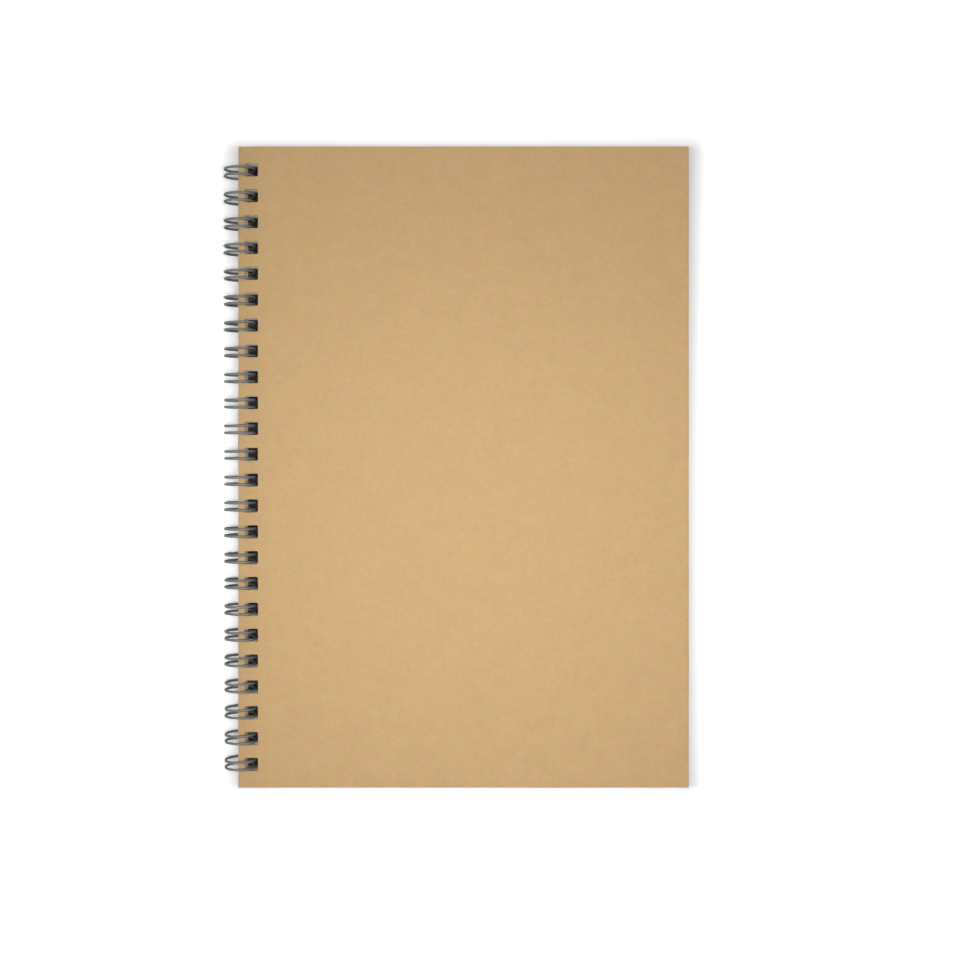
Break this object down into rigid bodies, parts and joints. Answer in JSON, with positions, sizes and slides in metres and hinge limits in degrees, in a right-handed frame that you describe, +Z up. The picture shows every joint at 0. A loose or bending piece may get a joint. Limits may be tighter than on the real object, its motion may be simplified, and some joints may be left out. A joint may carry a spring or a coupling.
{
  "type": "sketchbook",
  "caption": "Wire-bound portrait sketchbook with plain kraft board covers and loose punched drawing leaves that turn on a dark twin-loop wire.",
  "frame": {"origin": "middle of the book's outline, level with the lowest point of the binding wire", "axes": "+X from the spine to the fore edge, +Y from the tail to the head of the page, +Z up out of the front cover"},
  "size_m": [0.153, 0.21, 0.0107],
  "materials": {
    "kraft_board": "stiff uncoated brown kraft board",
    "drawing_paper": "matt off-white drawing paper",
    "wire_enamel": "satin dark grey coated steel wire"
  },
  "bodies": {
    "back_cover": {"back_cover": "kraft_board"},
    "leaf_20": {"leaf_20": "drawing_paper"},
    "leaf_19": {"leaf_19": "drawing_paper"},
    "leaf_18": {"leaf_18": "drawing_paper"},
    "leaf_17": {"leaf_17": "drawing_paper"},
    "leaf_16": {"leaf_16": "drawing_paper"},
    "leaf_15": {"leaf_15": "drawing_paper"},
    "leaf_14": {"leaf_14": "drawing_paper"},
    "leaf_13": {"leaf_13": "drawing_paper"},
    "leaf_12": {"leaf_12": "drawing_paper"},
    "leaf_11": {"leaf_11": "drawing_paper"},
    "leaf_10": {"leaf_10": "drawing_paper"},
    "leaf_09": {"leaf_09": "drawing_paper"},
    "leaf_08": {"leaf_08": "drawing_paper"},
    "leaf_07": {"leaf_07": "drawing_paper"},
    "leaf_06": {"leaf_06": "drawing_paper"},
    "leaf_05": {"leaf_05": "drawing_paper"},
    "leaf_04": {"leaf_04": "drawing_paper"},
    "leaf_03": {"leaf_03": "drawing_paper"},
    "leaf_02": {"leaf_02": "drawing_paper"},
    "leaf_01": {"leaf_01": "drawing_paper"},
    "front_cover": {"front_cover": "kraft_board"},
    "binding_wire": {"binding_wire": "wire_enamel"}
  },
  "joints": [
    {"name": "leaf_20_turn", "type": "hinge", "parent": "back_cover", "child": "leaf_20", "pos_m": [-0.07113, 0, 0.00538], "axis": [0, -1, 0], "range_deg": [0, 180]},
    {"name": "leaf_19_turn", "type": "hinge", "parent": "leaf_20", "child": "leaf_19", "pos_m": [-0.07113, 0, 0.00538], "axis": [0, -1, 0], "range_deg": [0, 180]},
    {"name": "leaf_18_turn", "type": "hinge", "parent": "leaf_19", "child": "leaf_18", "pos_m": [-0.07113, 0, 0.00538], "axis": [0, -1, 0], "range_deg": [0, 180]},
    {"name": "leaf_17_turn", "type": "hinge", "parent": "leaf_18", "child": "leaf_17", "pos_m": [-0.07113, 0, 0.00538], "axis": [0, -1, 0], "range_deg": [0, 180]},
    {"name": "leaf_16_turn", "type": "hinge", "parent": "leaf_17", "child": "leaf_16", "pos_m": [-0.07113, 0, 0.00538], "axis": [0, -1, 0], "range_deg": [0, 180]},
    {"name": "leaf_15_turn", "type": "hinge", "parent": "leaf_16", "child": "leaf_15", "pos_m": [-0.07113, 0, 0.00538], "axis": [0, -1, 0], "range_deg": [0, 180]},
    {"name": "leaf_14_turn", "type": "hinge", "parent": "leaf_15", "child": "leaf_14", "pos_m": [-0.07113, 0, 0.00538], "axis": [0, -1, 0], "range_deg": [0, 180]},
    {"name": "leaf_13_turn", "type": "hinge", "parent": "leaf_14", "child": "leaf_13", "pos_m": [-0.07113, 0, 0.00538], "axis": [0, -1, 0], "range_deg": [0, 180]},
    {"name": "leaf_12_turn", "type": "hinge", "parent": "leaf_13", "child": "leaf_12", "pos_m": [-0.07113, 0, 0.00538], "axis": [0, -1, 0], "range_deg": [0, 180]},
    {"name": "leaf_11_turn", "type": "hinge", "parent": "leaf_12", "child": "leaf_11", "pos_m": [-0.07113, 0, 0.00538], "axis": [0, -1, 0], "range_deg": [0, 180]},
    {"name": "leaf_10_turn", "type": "hinge", "parent": "leaf_11", "child": "leaf_10", "pos_m": [-0.07113, 0, 0.00538], "axis": [0, -1, 0], "range_deg": [0, 180]},
    {"name": "leaf_09_turn", "type": "hinge", "parent": "leaf_10", "child": "leaf_09", "pos_m": [-0.07113, 0, 0.00538], "axis": [0, -1, 0], "range_deg": [0, 180]},
    {"name": "leaf_08_turn", "type": "hinge", "parent": "leaf_09", "child": "leaf_08", "pos_m": [-0.07113, 0, 0.00538], "axis": [0, -1, 0], "range_deg": [0, 180]},
    {"name": "leaf_07_turn", "type": "hinge", "parent": "leaf_08", "child": "leaf_07", "pos_m": [-0.07113, 0, 0.00538], "axis": [0, -1, 0], "range_deg": [0, 180]},
    {"name": "leaf_06_turn", "type": "hinge", "parent": "leaf_07", "child": "leaf_06", "pos_m": [-0.07113, 0, 0.00538], "axis": [0, -1, 0], "range_deg": [0, 180]},
    {"name": "leaf_05_turn", "type": "hinge", "parent": "leaf_06", "child": "leaf_05", "pos_m": [-0.07113, 0, 0.00538], "axis": [0, -1, 0], "range_deg": [0, 180]},
    {"name": "leaf_04_turn", "type": "hinge", "parent": "leaf_05", "child": "leaf_04", "pos_m": [-0.07113, 0, 0.00538], "axis": [0, -1, 0], "range_deg": [0, 180]},
    {"name": "leaf_03_turn", "type": "hinge", "parent": "leaf_04", "child": "leaf_03", "pos_m": [-0.07113, 0, 0.00538], "axis": [0, -1, 0], "range_deg": [0, 180]},
    {"name": "leaf_02_turn", "type": "hinge", "parent": "leaf_03", "child": "leaf_02", "pos_m": [-0.07113, 0, 0.00538], "axis": [0, -1, 0], "range_deg": [0, 180]},
    {"name": "leaf_01_turn", "type": "hinge", "parent": "leaf_02", "child": "leaf_01", "pos_m": [-0.07113, 0, 0.00538], "axis": [0, -1, 0], "range_deg": [0, 180]},
    {"name": "front_cover_turn", "type": "hinge", "parent": "leaf_01", "child": "front_cover", "pos_m": [-0.07113, 0, 0.00538], "axis": [0, -1, 0], "range_deg": [0, 180]},
    {"name": "wire_roll", "type": "hinge", "parent": "back_cover", "child": "binding_wire", "pos_m": [-0.07113, 0, 0.00538], "axis": [0, -1, 0], "range_deg": [-180, 20]}
  ]
}
